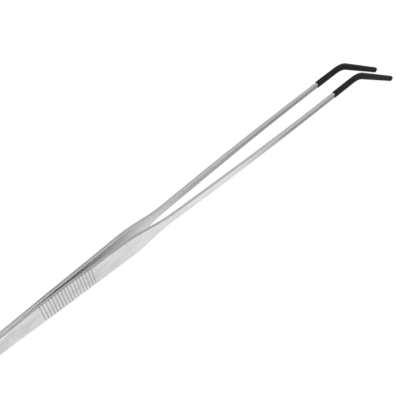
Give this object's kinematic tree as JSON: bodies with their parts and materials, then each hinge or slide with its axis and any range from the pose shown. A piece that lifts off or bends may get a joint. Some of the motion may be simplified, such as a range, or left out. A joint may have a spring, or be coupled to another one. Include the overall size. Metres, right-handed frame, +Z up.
{
  "type": "aquascaping tweezers",
  "caption": "Long steel spring tweezers with a wide grooved grip, slim bowed arms and bent tips in thin black rubber sleeves, for planting and feeding in an aquarium.",
  "frame": {"origin": "middle of the bounding box in X and Y, on the surface that the tweezers stand on", "axes": "+X from the heel towards the tips, +Y across the jaw towards the left arm, +Z up, along the width of the strips; the tips bend down towards -Z"},
  "size_m": [0.2716, 0.0142, 0.0241],
  "materials": {
    "arm_steel": "satin brushed stainless steel",
    "weld_steel": "resistance weld nugget, fused stainless steel",
    "tip_rubber": "satin black rubber"
  },
  "bodies": {
    "heel": {"heel_spot_welds": "weld_steel"},
    "left_jaw": {"left_arm": "arm_steel", "left_tip_sleeve": "tip_rubber"},
    "right_jaw": {"right_arm": "arm_steel", "right_tip_sleeve": "tip_rubber"}
  },
  "joints": [
    {"name": "left_flex", "type": "hinge", "parent": "heel", "child": "left_jaw", "pos_m": [-0.1118, 0, 0.00609], "axis": [0.0778, 0, -0.997], "range_deg": [0, 1.03], "stiffness_Nm_per_rad": 20},
    {"name": "right_flex", "type": "hinge", "parent": "heel", "child": "right_jaw", "pos_m": [-0.1118, 0, 0.00609], "axis": [-0.0778, 0, 0.997], "range_deg": [0, 1.03], "stiffness_Nm_per_rad": 20}
  ],
  "couplings": [
    {"joint": "right_flex", "follows": "left_flex", "ratio": 1}
  ]
}
